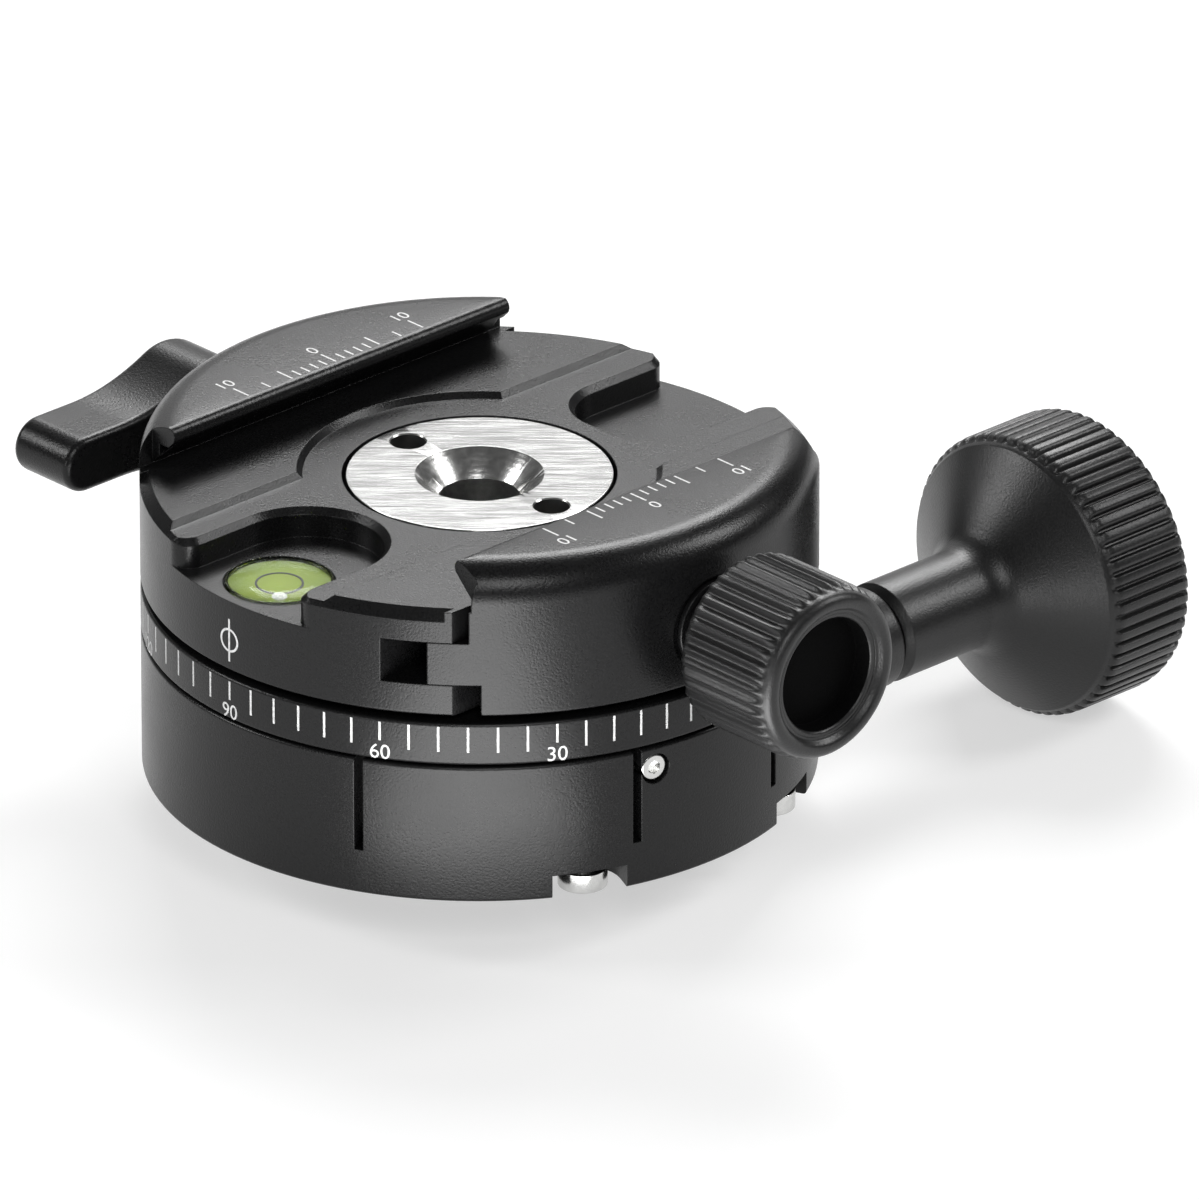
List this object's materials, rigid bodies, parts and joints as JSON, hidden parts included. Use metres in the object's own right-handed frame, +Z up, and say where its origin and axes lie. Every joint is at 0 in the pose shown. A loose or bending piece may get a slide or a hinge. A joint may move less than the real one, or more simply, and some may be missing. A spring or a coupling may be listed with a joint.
{
  "type": "geared panning base with dovetail clamp",
  "caption": "Round geared panning base: a worm knob turns the head slowly, a lever locks it, and a dovetail clamp with a sliding jaw and a bubble level holds a camera plate.",
  "frame": {"origin": "on the pan axis, on the flat bottom face of the base", "axes": "+Z up along the pan axis, +X along the clamp jaws towards the large worm knob, -Y towards the clamp knob, +Y towards the lock lever"},
  "size_m": [0.0845, 0.0826, 0.036],
  "materials": {
    "black_anodised": "satin black anodised",
    "bright_steel": "brushed and turned",
    "spring_steel": "drawn wire",
    "bronze": "machined",
    "nylon": "matte",
    "vial_green": "clear, green fluid"
  },
  "bodies": {
    "base": {"base_housing": "black_anodised", "bottom_plate": "black_anodised", "spindle": "bright_steel", "spindle_screw_1": "bright_steel", "spindle_screw_2": "bright_steel", "spindle_screw_3": "bright_steel", "plate_screw_1": "bright_steel", "plate_screw_2": "bright_steel", "plate_screw_3": "bright_steel", "notch_screw_left": "bright_steel", "notch_screw_right": "bright_steel", "mesh_set_screw": "bright_steel", "degree_ring": "black_anodised", "dial_screw_1": "bright_steel", "dial_screw_2": "bright_steel", "dial_screw_3": "bright_steel", "gear_lower_washer": "nylon", "gear_thrust_washer": "nylon", "worm_end_bush": "bronze", "worm_sleeve": "black_anodised", "hub_disc": "bright_steel", "hub_washer": "nylon"},
    "gear": {"gear_wheel": "bronze", "gear_bush": "bronze", "head_thrust_washer": "nylon"},
    "worm": {"worm_shaft": "bright_steel", "worm_knob": "black_anodised", "worm_knob_cap": "black_anodised", "worm_knob_screw": "bright_steel"},
    "head": {"upper_body": "black_anodised", "head_bush": "bronze", "bubble_vial": "vial_green", "guide_pin_left": "bright_steel", "guide_pin_right": "bright_steel", "jaw_spring_left": "spring_steel", "jaw_spring_right": "spring_steel"},
    "jaw": {"moving_jaw": "black_anodised", "clamp_washer": "bright_steel"},
    "clamp": {"clamp_knob": "black_anodised", "clamp_screw": "bright_steel"},
    "lever": {"lock_lever": "black_anodised", "lock_screw": "bright_steel", "lever_screw": "bright_steel"},
    "shoe": {"brake_shoe": "bronze"}
  },
  "joints": [
    {"name": "gear_pan", "type": "hinge", "parent": "base", "child": "gear", "pos_m": [0, 0, 0], "axis": [0, 0, 1], "continuous": true},
    {"name": "worm_turn", "type": "hinge", "parent": "base", "child": "worm", "pos_m": [0, -0.0166, 0.0071], "axis": [1, 0, 0], "continuous": true},
    {"name": "free_pan", "type": "hinge", "parent": "gear", "child": "head", "pos_m": [0, 0, 0], "axis": [0, 0, 1], "continuous": true},
    {"name": "jaw_slide", "type": "slide", "parent": "head", "child": "jaw", "axis": [0, -1, 0], "range_m": [-0.0009, 0.005], "deforming": ["jaw_spring_left", "jaw_spring_right"]},
    {"name": "clamp_turn", "type": "hinge", "parent": "jaw", "child": "clamp", "pos_m": [0, -0.032, 0.022], "axis": [0, -1, 0], "range_deg": [-463, 2572]},
    {"name": "lever_turn", "type": "hinge", "parent": "head", "child": "lever", "pos_m": [0, 0.033, 0.0203], "axis": [0, 1, 0], "range_deg": [-20, 70]},
    {"name": "shoe_slide", "type": "slide", "parent": "head", "child": "shoe", "axis": [0, -1, 0], "range_m": [-0.0001555, 0.0000444]}
  ],
  "couplings": [
    {"joint": "worm_turn", "follows": "gear_pan", "ratio": -60},
    {"joint": "clamp_turn", "follows": "jaw_slide", "rad_per_m": 8976},
    {"joint": "lever_turn", "follows": "shoe_slide", "rad_per_m": -7854}
  ]
}
